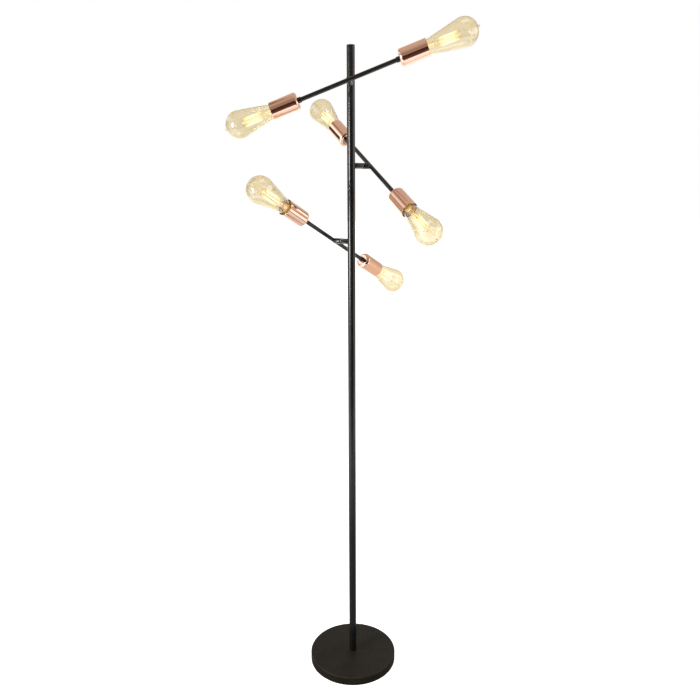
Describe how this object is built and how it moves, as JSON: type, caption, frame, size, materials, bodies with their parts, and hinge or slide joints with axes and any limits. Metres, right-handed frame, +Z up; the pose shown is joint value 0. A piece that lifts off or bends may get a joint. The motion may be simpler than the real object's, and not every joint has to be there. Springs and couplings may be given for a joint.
{
  "type": "tree floor lamp",
  "caption": "Slim tree floor lamp: round weighted base, straight pole and spiralling arms that tilt on side posts, with a copper cup and a teardrop filament bulb at each end.",
  "frame": {"origin": "on the pole's axis at floor level, the middle of the base's underside", "axes": "+Z up along the pole; -Y is the lamp's front, the side that faces the viewer; the cord's gland is on +Y; +X is to the right seen from the front"},
  "size_m": [0.5647, 0.4381, 1.6289],
  "materials": {
    "pad": "soft matte ring",
    "iron": "rough casting",
    "base_paint": "matt brown-black powder coat",
    "gland_rubber": "smooth moulded bush",
    "steel": "zinc-plated",
    "pole_paint": "satin black",
    "lead_cover": "wire insulation",
    "washer_plastic": "slippery friction washer",
    "copper_plate": "polished copper plating",
    "lampholder_black": "moulded black",
    "brass": "plain",
    "amber_glass": "clear amber tint",
    "clear_glass": "clear",
    "filament": "carbon-look filament on its wire hooks"
  },
  "bodies": {
    "stand": {"base_pad": "pad", "base_weight": "iron", "base_cover": "base_paint", "cord_gland": "gland_rubber", "base_nipple": "steel", "base_washer": "steel", "base_nut": "steel", "pole_foot_bush": "steel", "pole_lower": "pole_paint", "pole_middle": "pole_paint", "pole_upper": "pole_paint", "pole_couplers": "steel", "pole_cap": "pole_paint", "pole_lead": "lead_cover", "arm_post_top": "pole_paint", "arm_post_middle": "pole_paint", "arm_post_low": "pole_paint", "swivel_washers": "washer_plastic"},
    "top_arm": {"swivel_hub_top": "pole_paint", "swivel_screw_top": "steel", "arm_tube_top": "pole_paint", "arm_lead_top": "lead_cover", "arm_collars_top": "pole_paint", "socket_cups_top": "copper_plate", "lampholders_top": "lampholder_black", "screw_shells_top": "brass", "contact_springs_top": "brass", "bulb_caps_top": "brass", "bulb_glasses_top": "amber_glass", "bulb_stems_top": "clear_glass", "bulb_filaments_top": "filament"},
    "middle_arm": {"swivel_hub_middle": "pole_paint", "swivel_screw_middle": "steel", "arm_tube_middle": "pole_paint", "arm_lead_middle": "lead_cover", "arm_collars_middle": "pole_paint", "socket_cups_middle": "copper_plate", "lampholders_middle": "lampholder_black", "screw_shells_middle": "brass", "contact_springs_middle": "brass", "bulb_caps_middle": "brass", "bulb_glasses_middle": "amber_glass", "bulb_stems_middle": "clear_glass", "bulb_filaments_middle": "filament"},
    "low_arm": {"swivel_hub_low": "pole_paint", "swivel_screw_low": "steel", "arm_tube_low": "pole_paint", "arm_lead_low": "lead_cover", "arm_collars_low": "pole_paint", "socket_cups_low": "copper_plate", "lampholders_low": "lampholder_black", "screw_shells_low": "brass", "contact_springs_low": "brass", "bulb_caps_low": "brass", "bulb_glasses_low": "amber_glass", "bulb_stems_low": "clear_glass", "bulb_filaments_low": "filament"}
  },
  "joints": [
    {"name": "top_swivel", "type": "hinge", "parent": "stand", "child": "top_arm", "pos_m": [-0.00575, -0.0547, 1.506], "axis": [-0.1045, -0.9945, 0], "range_deg": [-40, 20]},
    {"name": "middle_swivel", "type": "hinge", "parent": "stand", "child": "middle_arm", "pos_m": [0.04613, 0.02996, 1.325], "axis": [0.8387, 0.5446, 0], "range_deg": [-53, 7]},
    {"name": "low_swivel", "type": "hinge", "parent": "stand", "child": "low_arm", "pos_m": [-0.04151, 0.03608, 1.148], "axis": [-0.7547, 0.6561, 0], "range_deg": [-47, 13]}
  ]
}
